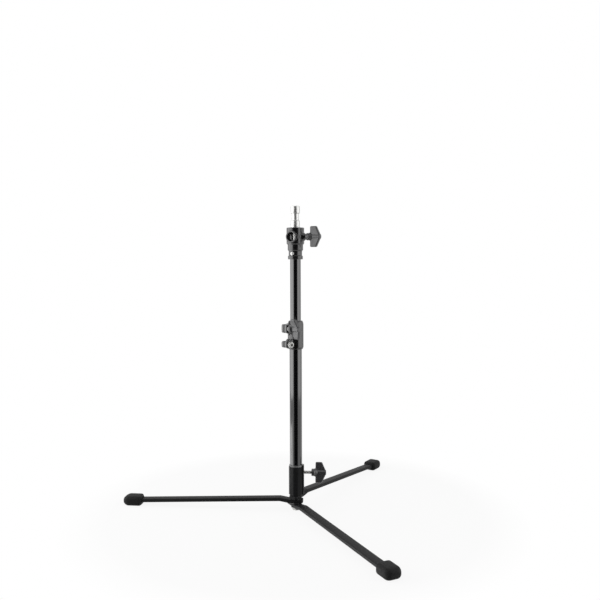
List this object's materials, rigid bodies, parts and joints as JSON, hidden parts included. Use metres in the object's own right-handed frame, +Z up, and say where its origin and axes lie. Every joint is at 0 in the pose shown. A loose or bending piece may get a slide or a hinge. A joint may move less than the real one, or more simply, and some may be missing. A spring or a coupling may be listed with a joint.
{
  "type": "low folding light stand",
  "caption": "Low stand for a studio light: three folding flat legs, a telescoping two-part column with a knob clamp, and a head with a cross bore and a clamped stud.",
  "frame": {"origin": "on the column axis at the underside of the hub bolt, level with the floor to within 1 mm", "axes": "+Z up along the column; -X towards the left leg, the front leg at -60 degrees and the back leg at +60 degrees from +X"},
  "size_m": [0.4863, 0.5622, 0.5445],
  "materials": {
    "tube_black": "gloss black",
    "leg_black": "satin black",
    "casting_black": "glossy black powder coat",
    "socket_black": "matt black powder coat",
    "knob_black": "moulded black plastic",
    "foot_rubber": "matt black",
    "nylon": "natural nylon",
    "zinc_steel": "bright zinc plate",
    "bright_steel": "machined",
    "brass": "machined"
  },
  "bodies": {
    "base": {"base_socket": "socket_black", "hub_bolt": "zinc_steel", "hub_nut": "zinc_steel", "washer_under_front_leg": "zinc_steel", "washer_under_left_leg": "knob_black", "washer_under_back_leg": "knob_black", "leg_left": "leg_black", "foot_left": "foot_rubber"},
    "front_leg": {"leg_front": "leg_black", "foot_front": "foot_rubber"},
    "back_leg": {"leg_back": "leg_black", "foot_back": "foot_rubber"},
    "base_pad": {"base_pad": "brass"},
    "base_knob": {"base_knob": "knob_black", "base_screw": "bright_steel"},
    "column": {"lower_tube": "tube_black", "lower_tube_plug": "nylon", "clamp_casting": "casting_black", "clamp_bush": "nylon", "clamp_bolt": "zinc_steel", "clamp_nut": "zinc_steel", "clamp_knob_nut": "zinc_steel"},
    "clamp_washer": {"clamp_washer": "zinc_steel"},
    "clamp_knob": {"clamp_knob": "knob_black", "clamp_screw": "bright_steel"},
    "riser_bush": {"guide_bush": "nylon"},
    "riser": {"upper_tube": "tube_black", "head_casting": "casting_black", "head_rivet_front": "bright_steel", "head_rivet_back": "bright_steel"},
    "head_pad": {"head_pad": "brass"},
    "head_knob": {"head_knob": "knob_black", "head_screw": "bright_steel"},
    "stud": {"stud": "bright_steel"}
  },
  "joints": [
    {"name": "front_leg_fold", "type": "hinge", "parent": "base", "child": "front_leg", "pos_m": [0, 0, 0.00935], "axis": [0, 0, 1], "range_deg": [-105, 0]},
    {"name": "back_leg_fold", "type": "hinge", "parent": "base", "child": "back_leg", "pos_m": [0, 0, 0.02475], "axis": [0, 0, 1], "range_deg": [0, 100]},
    {"name": "column_turn", "type": "hinge", "parent": "base", "child": "column", "pos_m": [0, 0, 0.0687], "axis": [0, 0, 1], "continuous": true},
    {"name": "riser_slide", "type": "slide", "parent": "column", "child": "riser_bush", "axis": [0, 0, 1], "range_m": [-0.106, 0.13]},
    {"name": "riser_turn", "type": "hinge", "parent": "riser_bush", "child": "riser", "pos_m": [0, 0, 0.342], "axis": [0, 0, 1], "continuous": true},
    {"name": "stud_turn", "type": "hinge", "parent": "riser", "child": "stud", "pos_m": [0, 0, 0.49], "axis": [0, 0, 1], "continuous": true},
    {"name": "base_pad_travel", "type": "slide", "parent": "base", "child": "base_pad", "axis": [1, 0, 0], "range_m": [0, 0.004]},
    {"name": "base_knob_turn", "type": "hinge", "parent": "base_pad", "child": "base_knob", "pos_m": [0, 0, 0.0687], "axis": [1, 0, 0], "range_deg": [0, 1440]},
    {"name": "clamp_washer_travel", "type": "slide", "parent": "column", "child": "clamp_washer", "axis": [0.6691, -0.7431, 0], "range_m": [0, 0.004]},
    {"name": "clamp_knob_turn", "type": "hinge", "parent": "clamp_washer", "child": "clamp_knob", "pos_m": [-0.01412, -0.01271, 0.3286], "axis": [0.6691, -0.7431, 0], "range_deg": [0, 1440]},
    {"name": "head_pad_travel", "type": "slide", "parent": "riser", "child": "head_pad", "axis": [0.9135, -0.4067, 0], "range_m": [0, 0.004]},
    {"name": "head_knob_turn", "type": "hinge", "parent": "head_pad", "child": "head_knob", "pos_m": [0, 0, 0.49], "axis": [0.9135, -0.4067, 0], "range_deg": [0, 1440]}
  ],
  "couplings": [
    {"joint": "base_pad_travel", "follows": "base_knob_turn", "m_per_rad": 0.00015915},
    {"joint": "clamp_washer_travel", "follows": "clamp_knob_turn", "m_per_rad": 0.00015915},
    {"joint": "head_pad_travel", "follows": "head_knob_turn", "m_per_rad": 0.00015915}
  ]
}
